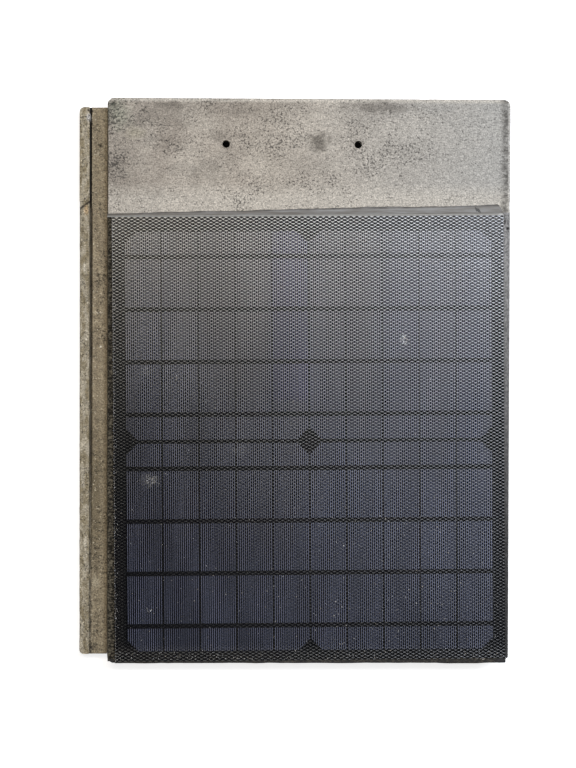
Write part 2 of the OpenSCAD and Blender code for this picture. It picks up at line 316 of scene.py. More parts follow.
def concrete_material():
    """Cast concrete with a worn face: grey-brown cement skin, sand grains and open pores."""
    made, tree, shader = new_material("cast_concrete", Roughness=0.9, IOR=1.5)
    place = add(tree, "TexCoord").outputs["Object"]

    def patchy(*size_and_range, **more):
        return patches(tree, place, *size_and_range, **more)

    def within(strength=1.0, **ramps):
        return region(tree, place, strength, **ramps)

    skin = coats(
        tree, "#8b8379",
        # Broad mottling of the cement skin
        (patchy(40, 0.4, 0.6, detail=6.0, rough=0.65), "#aca59a"),
        (patchy(14, 0.35, 0.65, high=0.6, stretch=2.0, shift=3.0), "#b6ada1"),
        # Lighter towards the right: painted light from the lamps at the right
        (within(0.35, X=[(-110, -10)]), "#c2b9ab"),
        # Darker beside the channel, and darker in patches near the head
        (within(0.36, X=[(-98, -128)], Y=[(200, 186)]), "#756d63"),
        (within(patchy(12, 0.35, 0.6, high=0.5, stretch=3.0, shift=15.0), Y=[(188, 202)]), "#7a736a"),
        # Cooler towards the overlock: painted light, the tint of the cool lamps at the right
        (within(0.75, X=[(-20, 150)]), "#a8a9a7"),
        # A paler, cleaner band beside the sealant
        (within(0.55, Y=[(148, 136), (112, 122)]), "#c6c0b5"),
        # Painted highlight on the worn head arris, a dirty band inside the overlock's edge, and a painted
        # highlight on the overlock's outer arris
        (within(0.55, Y=[(206.2, 208.5)]), "#d8d2c6"),
        (within(patchy(3, 0.4, 0.6, 0.3, 0.85, stretch=2.0, shift=7.0, detail=3.0),
                X=[(152, 155.5), (159.2, 157.8)]), "#4f4d49"),
        (within(0.6, X=[(157.8, 159.4)]), "#cfcdc8"))
    ragged = patchy(7, 0.3, 0.7, -0.5, 0.5, detail=3.0)
    skin = coats(tree, skin, *[(spot(tree, place, *smudge, ragged), "#5b564e") for smudge in SMUDGES])

    # The channel lies lower and keeps brown silt, with pale grains in it
    strip = coats(
        tree, "#998c74",
        (within(0.9, X=[(-152, -151)], Y=[(-20, -60), (-150, -110)]), "#786d56"),
        (within(0.5, X=[(-152, -151)], Y=[(-110, -150)]), "#8d826b"),
        (patchy(9, 0.4, 0.65, high=0.5, stretch=0.4, shift=2.0), "#6d6250"))
    rib = coats(
        tree, "#82775f",
        (patchy(9, 0.4, 0.6, stretch=0.4, shift=4.0), "#aba28f"))
    groove = [(-152.7, -152.3), (-150.8, -151.1)]
    groove_shade_patches = patchy(11, 0.35, 0.65, 0.15, 0.7, shift=6.0, detail=3.0)
    slanting = sheared(tree, place, 0.76)
    silt = coats(
        tree, strip,
        (within(X=[(-151, -152.4)]), rib),
        (patchy(1.5, 0.63, 0.68, high=0.75, shift=11.0, detail=2.0), "#d8ceb6"),
        # Painted shade in the narrow groove beside the rib: near black, patchy towards the tail and
        # darkest along the rib's block
        (within(groove_shade_patches, X=groove), "#16120d"),
        (within(0.6, X=groove, Y=[(-115, -60)]), "#1c1711"),
        (within(0.95, X=groove, Y=[(BLOCK_END, BLOCK_END + 6)]), "#16120d"),
        # and painted shadow along the block's slanting lower end
        (region(tree, slanting, 0.85, X=[(-151, -152.5)], Y=[(248.2, 248.9), (250.6, 249.9)]), "#1f1812"),
        # Painted light: paler beside the wall up to the face, lifting the shade that the wall casts on
        # the channel
        (within(0.5, X=[(-147, -142), (-139, -140)]), "#b9ac92"))
    ground = coats(
        tree, skin,
        (within(X=[(-134, -138)], Z=[(face_z - 1, face_z - 4)]), silt),
        # Darker along the laminate's left edge and along the tail's upper edge
        (within(0.9, X=[(-134.5, -137)], Y=[(122, 118)], Z=[(face_z - 3, face_z - 1)]), "#37322a"),
        (within(0.93, X=[(-142, -138)], Y=[(-202, -205)], Z=[(face_z - 6, face_z - 2)]), "#33322f"))
    frayed = add(tree, "Math", {0: ragged, 1: 0.5}, operation="MULTIPLY")
    ground = coats(tree, ground, *[(spot(tree, place, *mark, frayed), colour) for *mark, colour in MARKS])

    # Open pores, crowded in patches and along the channel's side of the face, fewer to the right
    crowd = add(tree, "Math", {
        0: within(patchy(20, 0.42, 0.66, 0.02, 0.15, stretch=1.3, shift=5.0, rough=0.65), X=[(200, 60)]),
        1: within(0.06, X=[(-118, -132)], Z=[(face_z - 4, face_z - 1)])}, operation="ADD")
    speck = patchy(1.6, 0.0, 1.0, shift=9.0, detail=3.0, rough=0.7)
    depth = add(tree, "Math", {0: speck, 1: crowd}, operation="SUBTRACT")
    pore = add(tree, "MapRange", {"Value": depth, "From Min": 0.27, "From Max": 0.36, "To Min": 0.3})
    # Sand grains of about 1 mm, and cement skin rubbed across the tile
    sand = patchy(1.0, 0.3, 0.7, 0.6, 1.4, shift=1.0, detail=2.0)
    rub = patchy(1.6, 0.3, 0.7, 0.7, 1.3, stretch=2.0, detail=3.0, rough=0.8)
    for tone in (sand, rub, pore):
        ground = add(tree, "VectorMath", {0: ground, 1: tone}, operation="MULTIPLY")
    relief = add(tree, "Math", {0: sand, 1: pore}, operation="ADD")
    dress(tree, shader, ground, relief, 0.7, 0.35)
    return made


# Chips and pits broken out of the casting: centre, radius, depth
CHIPS = (
    ((-155.0, 127.5, 17.0), 4.2, 1.1),
    ((-157.8, 104.0, 16.4), 3.0, 0.5),
    ((-144.6, 175.0, 14.0), 2.0, 0.9),
    ((-135.4, 206.0, 26.0), 2.8, 1.1),
    ((-151.8, 201.5, 17.0), 2.6, 1.5),
    ((-151.0, -200.5, 15.0), 3.2, 1.6),
    ((-136.2, 140.6, 26.0), 1.9, 0.8),
    ((-154.0, 60.0, 16.0), 5.0, 0.6),
    ((-153.5, -20.0, 16.0), 6.0, 0.7),
    ((-158.5, -90.0, 16.0), 4.0, 0.6),
    ((-154.0, -140.0, 16.0), 7.0, 0.8),
    ((159.5, 178.0, 26.0), 3.0, 0.7),
    ((159.5, 131.0, 26.0), 4.0, 0.8),
    ((96.0, 209.5, 26.0), 4.0, 0.7),
    ((-20.0, 209.5, 26.0), 3.0, 0.6),
)
# The worn skin is cut this fine, down to this height
WEAR_STEP = 1.3
WEAR_LOWEST = 10
# Height of the silt in the groove, and how many mm down the slope raise it by one
SILT_Z = 12.2
SILT_RUN = 110


def wear(point, sharp):
    """How deep the skin is worn away there, in millimetres."""
    grit = 0.5 + 0.5 * noise.noise(point / 1.6)
    lumps = 0.5 + 0.5 * noise.noise(point / 6 + Vector((9, 0, 0)))
    depth = 0.1 * grit + 0.12 * lumps
    if point.x < body_x + 3 and point.z < face_z - 5:
        depth += 0.3 * lumps
    if sharp:
        depth += 0.15 + 0.5 * max(0, noise.noise(point / 4 + Vector((0, 5, 0))))
    # The tail arris has been knocked wavy
    if point.y < tile_low.y + 2.5:
        depth += 1.1 * max(0, ripple(point.x, 0, 30, 2.5) + 0.15)
    for centre, radius, chip in CHIPS:
        off = (point - Vector(centre)).length / radius
        off += 0.3 * noise.noise(point / 1.5 + Vector((0, 0, 7)))
        depth += chip * max(0, 1 - off * off)
    return depth


def cut(shell, faces, axis, places):
    """Cuts the faces along planes across one axis, and gives back what they became."""
    if not faces or not places:
        return faces
    middle = len(places) // 2
    across = Vector([1 if k == axis else 0 for k in range(3)])
    crossed = {f for f in faces if min(v.co[axis] for v in f.verts) < places[middle] < max(
        v.co[axis] for v in f.verts)}
    if crossed:
        parts = crossed | {e for f in crossed for e in f.edges} | {v for f in crossed for v in f.verts}
        made = bmesh.ops.bisect_plane(
            shell, geom=list(parts), dist=0.001,
            plane_co=across * places[middle], plane_no=across)["geom"]
        faces = [f for f in faces if f not in crossed]
        faces.extend(g for g in made if isinstance(g, bmesh.types.BMFace))
    below = [f for f in faces if f.calc_center_median()[axis] < places[middle]]
    above = [f for f in faces if f.calc_center_median()[axis] >= places[middle]]
    return cut(shell, below, axis, places[:middle]) + cut(shell, above, axis, places[middle + 1:])


def worn_casting():
    """The casting's own shape with its visible skin cut fine and worn inward."""
    source = frame["nodes"]["concrete_tile"]
    shell = bmesh.new()
    shell.from_mesh(source.data)
    shell.transform(source.matrix_world)
    bmesh.ops.scale(shell, vec=(1 / MM, 1 / MM, 1 / MM), verts=shell.verts)
    keen = math.radians(30)
    for edge in shell.edges:
        edge.smooth = not (len(edge.link_faces) == 2 and edge.calc_face_angle(0) > keen)

    # What is under the laminate or hidden underneath stays coarse
    left, right, tail, head = body_x + 5, 152.5, -202.5, 112
    faces = [f for f in shell.faces if f.normal.z > -0.5 and f.calc_center_median().z > WEAR_LOWEST]
    faces = cut(shell, faces, 0, [left, right])
    faces = cut(shell, faces, 1, [tail, head])
    middle = Vector((left + right, tail + head)) / 2
    half = Vector((right - left, head - tail)) / 2

    def bare(f):
        off = f.calc_center_median().xy - middle
        return abs(off.x) > half.x or abs(off.y) > half.y

    faces = [f for f in faces if bare(f)]
    spans = ((0, tile_low.x, tile_high.x), (1, tile_low.y, tile_high.y), (2, 12, face_z))
    for axis, low, high in spans:
        step = WEAR_STEP if axis < 2 else 2 * WEAR_STEP
        count = int((high - low) / step)
        faces = cut(shell, faces, axis, [low + (high - low) * (k + 0.5) / count for k in range(count)])
    skin = {v for f in faces for v in f.verts if v.co.z > WEAR_LOWEST + 0.5}

    shell.normal_update()
    moves = {}
    for v in skin:
        sharp = any(not e.smooth for e in v.link_edges)
        moves[v] = v.co - v.normal * wear(v.co, sharp)
        # The groove beside the rib is half full of silt below the block
        if -152.6 < v.co.x < -150.8 and v.co.y < BLOCK_END and v.co.z < 15:
            moves[v].z = SILT_Z + max(0, -v.co.y) / SILT_RUN + 0.5 * noise.noise(v.co / 5)
    for v, place in moves.items():
        v.co = place
    bmesh.ops.scale(shell, vec=(MM, MM, MM), verts=shell.verts)
    for edge in shell.edges:
        edge.smooth = True
    bmesh.ops.triangulate(shell, faces=[f for f in shell.faces if len(f.verts) > 4])
    mesh = bpy.data.meshes.new("worn_casting")
    shell.to_mesh(mesh)
    shell.free()
    return mesh


casting = new_piece("worn_casting", worn_casting(), concrete_material())
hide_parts("concrete_tile")


# ---------------------------------------------------------------- sealant and adhesive

# Width of the sealant bead at its left and right end
BEAD_LEFT = 2.9
BEAD_RIGHT = 8.1
# How far it runs past the sheet's left edge, and over what length it thins out at the right
BEAD_OVERRUN = 3.2
BEAD_FADE = 5
# Widths of the adhesive's rims, from tail to head or from left to right
RIM_LEFT = (5.6, 2.8)
RIM_RIGHT = (1.7, 4.5)
RIM_TAIL = (1.5, 4.0)
BED_T = 1.2


def askew(y_left, y_right):
    """Slope, and Y at X = 0, of a line across the laminate between two heights in its axes."""
    left = Vector(on_laminate(-sheet_w / 2, y_left, 0))
    right = Vector(on_laminate(sheet_w / 2, y_right, 0))
    slope = (right.y - left.y) / (right.x - left.x)
    return slope, left.y - slope * left.x


def sealant_material():
    """Gunned polyurethane sealant, smoothed by hand: satin grey with fine drag marks."""
    made, tree, shader = new_material("gunned_sealant", Roughness=0.55, IOR=1.5)
    place = add(tree, "TexCoord").outputs["Object"]
    drag = patches(tree, place, 2.2, 0.35, 0.65, stretch=12.0, detail=3.0)
    # Two lines askew: the sheet's edge below the bead, and the bead's own upper edge
    low_slope, low = askew(sheet_l / 2, sheet_l / 2)
    high_slope, high = askew(sheet_l / 2 + BEAD_LEFT, sheet_l / 2 + BEAD_RIGHT)
    at_low = sheared(tree, place, low_slope)
    at_high = sheared(tree, place, high_slope)
    broken = patches(tree, place, 9.0, 0.4, 0.6, 0.25, 0.8, shift=5.0)
    nicks = [(133.8 + 1.2 * nick + 0.5 * k, 129.4 - 0.5 * nick - 1.0 * k)
             for nick in range(3) for k in range(3)]
    colour = coats(
        tree, "#67635d",
        (drag, "#878786"),
        # Warmer and dirtier towards the channel
        (region(tree, place, 0.35, X=[(-20, -120)]), "#6b6356"),
        # A thin pale line along the sheet's edge under the bead: painted highlight of that edge
        (region(tree, at_low, 0.8, Y=[(low + 1.3, low + 0.7)]), "#9b9b97"),
        # Painted shadow along its upper edge, where it meets the face, broken in patches
        (region(tree, at_high, broken, Y=[(high - 1.7, high - 0.9)]), "#45423e"),
        # A pale curl at the right end, and three slanting nicks before it: the nicks are painted shade,
        # with no nicks in the bead's shape
        (spot(tree, place, 153.6, 124.6, 3.0, 1.2, 0.8), "#c4c4c2"),
        *[(spot(tree, place, x, y, 0.6, 0.9, 1.0), "#171615") for x, y in nicks])
    dress(tree, shader, colour, drag, 0.5, 0.15)
    return made


def adhesive_material():
    """Squeezed-out polyurethane adhesive: dark brown rubber that holds grit and dust."""
    # The grit and dust on it break up its gloss, so little of it is left
    made, tree, shader = new_material("squeezed_adhesive", Roughness=0.9, IOR=1.5, Specular_IOR_Level=0.2)
    place = add(tree, "TexCoord").outputs["Object"]
    grit = patches(tree, place, 1.3, 0.46, 0.66, stretch=1.5, rough=0.6)
    # The rims at the right and the tail were wiped and have weathered grey, and they are darker towards
    # the tail
    wiped = add(tree, "Math", {
        0: region(tree, place, X=[(150, 152)]), 1: region(tree, place, 0.6, Y=[(-205.5, -206.5)])},
        operation="MAXIMUM")
    darker_to_tail = add(tree, "Math", {
        0: region(tree, place, Y=[(110, -150)]), 1: patches(tree, place, 3.0, 0.3, 0.7, -0.1, 0.2)},
        operation="ADD")
    stained = patches(tree, place, 3.5, 0.5, 0.7, high=0.6, stretch=0.5, shift=8.0)
    pitted = patches(tree, place, 1.5, 0.45, 0.58, high=0.6, shift=3.0, detail=2.0)
    grey = coats(
        tree, "#a5a4a3",
        (stained, "#5b5955"),
        (pitted, "#4a4a4b"),
        (darker_to_tail, "#3a3a3b"),
        # A gap behind the sealant's end, and a hole left by a bubble: painted shade, with neither in the
        # rim's shape
        (spot(tree, place, 155.8, 119.6, 0.8, 3.4, 0.9), "#100f0e"),
        (spot(tree, place, 158.0, 114.2, 1.7, 1.7, 0.95), "#100f0e"))
    colour = coats(tree, "#1b1812", (grit, "#716a5b"), (wiped, grey))
    dress(tree, shader, colour, grit, 0.5, 0.3)
    return made


def head_bead():
    """The wedge of sealant along the laminate's head edge, wider towards the overlock."""
    points, faces = [], []
    rings = []
    start = -sheet_w / 2 - BEAD_OVERRUN
    steps = 360
    for i in range(steps + 1):
        share = i / steps
        x = start + (sheet_w / 2 - start) * share
        width = BEAD_LEFT + (BEAD_RIGHT - BEAD_LEFT) * share
        width += 0.7 * ripple(x, 0, 45, 1.5) + 0.45 * ripple(x, 0, 14, 4.5) + 0.15 * ripple(x, 0, 3, 6.5)
        # It thins out where the gun was lifted
        width *= min(1, 0.25 + (sheet_w / 2 - x) / BEAD_FADE)
        top = sheet_high.z - 0.3 - 0.25 * abs(ripple(x, 0, 30, 8.5))
        ridge = 0.3 * max(0, ripple(x, 0, 60, 3.5) + 0.4)
        ring = [(0, face_z), (0, top)]
        for u, rise in ((0.12, 0.95), (0.35, 0.6), (0.6, 0.42), (0.8, 0.36), (0.93, 0.26), (1.0, 0.06)):
            lump = 0.1 * ripple(x, u * width, 3, 2.5) + (ridge if 0.7 < u < 0.95 else 0)
            ring.append((u * width, face_z + rise * (top - face_z) + lump))
        ring.append((width, face_z))
        rings.append([on_laminate(x, sheet_l / 2 + y, z) for y, z in ring])
    loft(rings, points, faces)
    return tidy_mesh("head_bead", points, faces)


bead = new_piece("head_bead", head_bead(), sealant_material())
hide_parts("head_sealant")


def rim(ends, outward, widths, top, seed, points, faces):
    """A rim of adhesive along one edge of the laminate, between two points in its axes."""
    (x0, y0), (x1, y1) = ends
    steps = int(math.dist(*ends))
    rings = []
    for i in range(steps + 1):
        x = x0 + (x1 - x0) * i / steps
        y = y0 + (y1 - y0) * i / steps
        far = widths[0] + (widths[1] - widths[0]) * i / steps
        far += 0.25 * ripple(x, y, 9, seed) + 0.12 * ripple(x, y, 2.5, seed + 3)
        ring = []
        for u, z in ((-2, face_z), (-2, face_z + 1.1), (0, top), (far * 0.35, top - 0.1),
                     (far * 0.7, face_z + 0.6 * (top - face_z)), (far, face_z + 0.1), (far, face_z)):
            lump = 0.12 * ripple(x + u, y, 1.6, seed + 6) if z > face_z else 0
            ring.append(on_laminate(x + outward[0] * u, y + outward[1] * u, z + lump))
        rings.append(ring)
    loft(rings, points, faces)


def adhesive_bed():
    """The bed under the laminate and what was squeezed out round it."""
    points, faces = [], []
    w, l = sheet_w / 2, sheet_l / 2
    slab = [(-w + 1, -l + 1), (w - 1, -l + 1), (w - 1, l - 0.2), (-w + 1, l - 0.2)]
    loft([[on_laminate(x, y, z) for x, y in slab] for z in (face_z, face_z + BED_T)], points, faces)
    rim(((-w, -l), (-w, l)), (-1, 0), RIM_LEFT, face_z + 1.1, 1, points, faces)
    rim(((w, -l), (w, l + 2)), (1, 0), RIM_RIGHT, face_z + 2.4, 2, points, faces)
    rim(((-w, -l), (w, -l)), (0, -1), RIM_TAIL, face_z + 1.1, 3, points, faces)
    return tidy_mesh("adhesive", points, faces)


bed = new_piece("squeezed_adhesive", adhesive_bed(), adhesive_material())
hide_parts("adhesive_bed")


# ---------------------------------------------------------------- cells

def tint_drift(tree, place):
    """0 to 1 from the head to the tail and a little to the right: the coat turns bluer that way."""
    slant = add(tree, "VectorMath", {0: place, 1: (0.3, -1.2, 0.0)}, operation="DOT_PRODUCT")
    batch = add(tree, "Mapping", {"Vector": place, "Scale": (1.0, 0.2, 1.0)})
    blotch = add(tree, "TexNoise", {"Vector": batch, "Scale": per(40), "Detail": 2.0})
    drift = add(tree, "MapRange", {
        "Value": slant, "From Min": -220 * MM, "From Max": 200 * MM, "To Min": -0.5, "To Max": 0.7})
    total = add(tree, "Math", {0: drift, 1: blotch}, operation="ADD")
    return add(tree, "MapRange", {"Value": total})


def silicon_material():
    """Monocrystalline silicon, blue-black. Its nitride coat leaves little gloss under the resin."""
    made, tree, shader = new_material("coated_silicon", Roughness=0.4, IOR=1.05)
    place = add(tree, "TexCoord").outputs["Object"]
    dress(tree, shader, coats(tree, "#040406", (tint_drift(tree, place), "#060812")))
    return made


def silver_material():
    """Screen-printed silver paste, tarnished: a broad metallic sheen."""
    made, tree, shader = new_material("printed_silver", Metallic=1.0, Roughness=0.5)
    place = add(tree, "TexCoord").outputs["Object"]
    colour = coats(
        tree, "#938f8a",
        (tint_drift(tree, place), "#777d94"),
        # The head row's fifth strip came from a bluer batch
        (region(tree, place, 0.35, X=[(-19, -16), (11, 8)], Y=[(-16, -12)]), "#7f7fb0"),
        # More tarnished in the middle of the tail row's left cells
        (region(tree, place, 0.35, X=[(40, -40)], Y=[(10, -20), (-165, -120)]), "#54545e"))
    # Strips from different print runs, each a little brighter or duller than the next
    runs = patches(tree, place, 90, 0.35, 0.65, 0.8, 1.18, stretch=0.25, shift=2.0, detail=2.0)
    dress(tree, shader, add(tree, "VectorMath", {0: colour, 1: runs}, operation="MULTIPLY"))
    return made


def ribbon_material():
    """Rolled copper ribbon with a black coat, so that it hardly shows beside the cells."""
    made, tree, shader = new_material("black_coated_ribbon", Roughness=0.45, IOR=1.05)
    place = add(tree, "TexCoord").outputs["Object"]
    # The rolls' fine lines are drawn over a millimetre apart, coarser than real ones, so that they show
    rolled = patches(tree, place, 1.2, 0.35, 0.65, stretch=15.0, detail=3.0)
    colour = coats(tree, "#06070c", (rolled, "#0d0e15"))
    dress(tree, shader, colour, rolled, 0.2, 0.05)
    return made


def back_sheet_material():
    """Black polymer backing sheet, matt, pressed with a fine grain by the laminating cloth."""
    made, tree, shader = new_material("black_backing_sheet", Roughness=0.6, IOR=1.05)
    place = add(tree, "TexCoord").outputs["Object"]
    pressed = patches(tree, place, 0.8, 0.35, 0.65, detail=2.0)
    clouding = patches(tree, place, 18, 0.35, 0.65, high=0.7, shift=3.0)
    colour = coats(tree, "#05060a", (clouding, "#0a0b11"), (pressed, "#090a0f"))
    dress(tree, shader, colour, pressed, 0.2, 0.05)
    return made


silicon = silicon_material()
ribbon = ribbon_material()
for name in frame["nodes"]:
    if name.startswith("cell_row"):
        paint(name, silicon)
    if name.startswith("ribbon_row"):
        paint(name, ribbon)
paint("back_sheet", back_sheet_material())

FINGERS = 17
FINGER_PITCH = 1.55
# A printed finger is about 0.1 mm wide. It is drawn wider and greyer so that it shows.
FINGER_W = 0.38
FINGER_T = 0.03
FINGER_END = 0.9
CLIP = 8.2
STRIPS_PER_WAFER = 5


def finger_mesh():
    """Silver fingers on every cell strip, cut short where the wafer's corners are clipped."""
    points, faces = [], []
    c, s = math.cos(SKEW), math.sin(SKEW)
    for row in (1, 2):
        for column in range(1, 11):
            low, high = box(f"cell_row{row}_strip{column}")
            mid = (low + high) / 2
            place = (column - 1) % STRIPS_PER_WAFER
            for i in range(FINGERS):
                x = (i - (FINGERS - 1) / 2) * FINGER_PITCH
                edge = strip_w / 2 + x if place == 0 else strip_w / 2 - x
                clipped = max(0, CLIP - edge) if place in (0, STRIPS_PER_WAFER - 1) else 0
                half = strip_l / 2 - FINGER_END - clipped
                ring = []
                for u, v in ((-1, -1), (1, -1), (1, 1), (-1, 1)):
                    dx, dy = x + u * FINGER_W / 2, v * half
                    ring.append((mid.x + dx * c - dy * s, mid.y + dx * s + dy * c))
                loft([[(*p, high.z + t) for p in ring] for t in (0, FINGER_T)], points, faces)
    return tidy_mesh("fingers", points, faces)


new_piece("silver_fingers", finger_mesh(), silver_material())


# ---------------------------------------------------------------- front sheet

# The embossing is rows of lozenge-shaped pits, every second column half a pitch up: their
# pitch, width, length and depth, and the border where they are pressed flat
PIT_X = 2.25
PIT_Y = 2.47
PIT_W = 3.0
PIT_L = 1.6
PIT_D = 0.3
PIT_HEAD_BORDER = 1.3
# The lattice lies this much low, so that grit on it stays inside the object's height
GRIT_RISE = 0.08
SHEET_BOTTOM = 28.45
# Dusty patches on the sheet: centre, half width and half length, strength
RUBS = (
    (-107, -73, 7.5, 5, 0.25),
    (80.5, 31.5, 2.6, 5, 0.8),
    (-110, 8, 6, 4, 0.12),
    (-40, -50, 9, 5, 0.1),
    (36, 64, 8, 5, 0.12),
)


def front_material(name, at_tail, at_head, painted_glint=0.0):
    """Clear embossed fluoropolymer: satin gloss, tinted and paled. The grey tint is painted shade in the
    pits, darker towards the head; the matt white is a film of dust, rubbed patches and painted glints in
    the pits.
    """
    made, tree = bare_material(name)
    place = add(tree, "TexCoord").outputs["Object"]
    grime_and_shade = coats(tree, at_tail, (region(tree, place, Y=[(-160, 30)]), at_head))
    clear = add(tree, "BsdfTransparent", {"Color": grime_and_shade})
    gloss = add(tree, "BsdfAnisotropic", {"Color": linear("#ffffff"), "Roughness": 0.25},
                distribution="BECKMANN")
    skin = add(tree, "MixShader", {0: add(tree, "Fresnel", {"IOR": 1.4}), 1: clear, 2: gloss})
    # The dust is a thin film everywhere
    film = patches(tree, place, 25, 0.4, 0.8, high=0.002, detail=6.0, rough=0.65)
    # Pale dust is also painted in the pits as painted glints: thickest towards the head and, less so,
    # towards the overlock, and thin along the tail and the left edge
    across = region(tree, place, X=[(-130, 140)])
    up = region(tree, place, Y=[(-190, 125)])
    steep = add(tree, "Math", {0: up, 1: 3.0}, operation="POWER")
    head_share = add(tree, "Math", {0: steep, 1: 0.25 * painted_glint}, operation="MULTIPLY")
    slope = add(tree, "Math", {0: up, 1: 0.175 * painted_glint, 2: 0.037 * painted_glint}, operation="MULTIPLY_ADD")
    side_share = add(tree, "Math", {0: across, 1: slope}, operation="MULTIPLY")
    tail_share = region(tree, place, 0.038 * painted_glint, Y=[(-195, -202)])
    left_share = region(tree, place, 0.011 * painted_glint, X=[(-124.5, -127)])
    # The dust is also streaked where something has rubbed over the sheet
    ragged = patches(tree, place, 3.0, 0.3, 0.7, -0.6, 0.6, shift=2.0)
    streaky = patches(tree, place, 1.4, 0.5, 0.6, stretch=0.5, shift=4.0)
    rubs = [add(tree, "Math", {0: spot(tree, place, *rub, ragged), 1: streaky}, operation="MULTIPLY")
            for rub in RUBS]
    amount = film
    for share in (head_share, side_share, tail_share, left_share, *rubs):
        amount = add(tree, "Math", {0: amount, 1: share}, operation="ADD")
    dust_and_glints = add(tree, "BsdfDiffuse", {"Color": coats(tree, "#e6e2d6", (across, "#e0e4ea"))})
    dusty_and_glinting = add(tree, "MixShader", {0: amount, 1: skin, 2: dust_and_glints})
    add(tree, "OutputMaterial", {"Surface": dusty_and_glinting})
    return made


def bonded_material():
    """The sheet's underside is bonded to the cells, so nothing shows at it."""
    made, tree = bare_material("bonded_underside")
    clear = add(tree, "BsdfTransparent", {"Color": linear("#ffffff")})
    add(tree, "OutputMaterial", {"Surface": clear})
    return made


def front_mesh():
    """The clear sheet with its pits: four facets each, and flat lattice between them."""
    w, l, top = sheet_w / 2, sheet_l / 2, sheet_high.z - GRIT_RISE
    columns = math.ceil(w / PIT_X) + 1
    rows = math.ceil(2 * l / PIT_Y) + 1
    right, head, left, tail, deep = range(5)
    shell = bmesh.new()
    pits = {}
    for i in range(-columns, columns + 1):
        for j in range(-rows, rows + 1):
            if (i + j) % 2:
                continue
            x, y = i * PIT_X, j * PIT_Y / 2
            # The last pits at the head edge are pressed flat
            low = top if y > l - PIT_HEAD_BORDER else top - PIT_D
            pits[i, j] = [shell.verts.new(point) for point in (
                (x + PIT_W / 2, y, top), (x, y + PIT_L / 2, top),
                (x - PIT_W / 2, y, top), (x, y - PIT_L / 2, top), (x, y, low))]
    for (i, j), pit in pits.items():
        for k in range(4):
            facet = shell.faces.new((pit[k], pit[(k + 1) % 4], pit[deep]))
            facet.material_index = 1 if k < 2 else 2
        upper = pits.get((i + 1, j + 1))
        lower = pits.get((i + 1, j - 1))
        above = pits.get((i, j + 2))
        beside = pits.get((i - 1, j + 1))
        if upper:
            shell.faces.new((pit[right], upper[tail], upper[left], pit[head]))
        if lower:
            shell.faces.new((pit[tail], lower[left], lower[head], pit[right]))
        if above and upper and beside:
            shell.faces.new((pit[head], upper[left], above[tail], beside[right]))
    # The pattern runs on past the sheet and is trimmed off at its edges
    for x, y, reach in ((1, 0, w), (-1, 0, w), (0, 1, l), (0, -1, l)):
        bmesh.ops.bisect_plane(
            shell, geom=shell.verts[:] + shell.edges[:] + shell.faces[:], dist=0.0001,
            plane_co=(x * reach, y * reach, 0), plane_no=(x, y, 0), clear_outer=True)
    rim = [e for e in shell.edges if len(e.link_faces) == 1]
    walls = bmesh.ops.extrude_edge_only(shell, edges=rim)["geom"]
    for part in walls:
        if isinstance(part, bmesh.types.BMVert):
            part.co.z = SHEET_BOTTOM
    below = [e for e in walls if isinstance(e, bmesh.types.BMEdge) and len(e.link_faces) == 1]
    bottom = bmesh.ops.contextual_create(shell, geom=below)["faces"]
    bmesh.ops.recalc_face_normals(shell, faces=shell.faces)
    for f in bottom:
        f.material_index = 3
    for v in shell.verts:
        v.co = Vector(on_laminate(*v.co)) * MM
    mesh = bpy.data.meshes.new("front_sheet")
    shell.to_mesh(mesh)
    shell.free()
    return mesh


lattice = front_material("front_lattice", "#f8f8f8", "#f4f4f6")
sheet = new_piece("embossed_front", front_mesh(), lattice)
# The pits' upper sides are tinted darker towards the head, as painted shade; their lower sides carry pale
# dust, thickest towards the head, as painted glints
sheet.data.materials.append(front_material("front_pits_head_side", "#d6d7da", "#c6c7ca", 0.2))
sheet.data.materials.append(front_material("front_pits_tail_side", "#ebebed", "#d6d7da", 2.75))
sheet.data.materials.append(bonded_material())
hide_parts("front_sheet")


# ---------------------------------------------------------------- grit

# Scuffs on the sheet: centre, length, direction in degrees
SCUFFS = (
    (81.8, 32.5, 5.0, 110),
    (83.0, 31.0, 4.0, 75),
    (-87.5, 2.6, 5.5, 85),
    (-108.5, -72.5, 4.0, 40),
    (-105.0, -71.5, 3.0, 55),
    (-104.0, -74.5, 3.5, 20),
    (-108.6, -169.5, 3.5, 115),
    (-105.5, -168.5, 4.5, 55),
    (140.0, -206.0, 3.0, 0),
)


def grain(x, y, size, long, turn, points, faces):
    """A flat grain of grit on the sheet: an eight-sided crumb, drawn out by long."""
    first = len(points)
    z = sheet_high.z - 0.12
    c, s = math.cos(turn), math.sin(turn)
    for u, v, w in ((1, 0, 0), (0, 1, 0), (-1, 0, 0), (0, -1, 0), (0, 0, 1), (0, 0, -1)):
        u, v = u * size * long / 2, v * size / 2
        points.append((x + u * c - v * s, y + u * s + v * c, z + w * 0.12))
    for k in range(4):
        faces.append((first + k, first + (k + 1) % 4, first + 4))
        faces.append((first + (k + 1) % 4, first + k, first + 5))


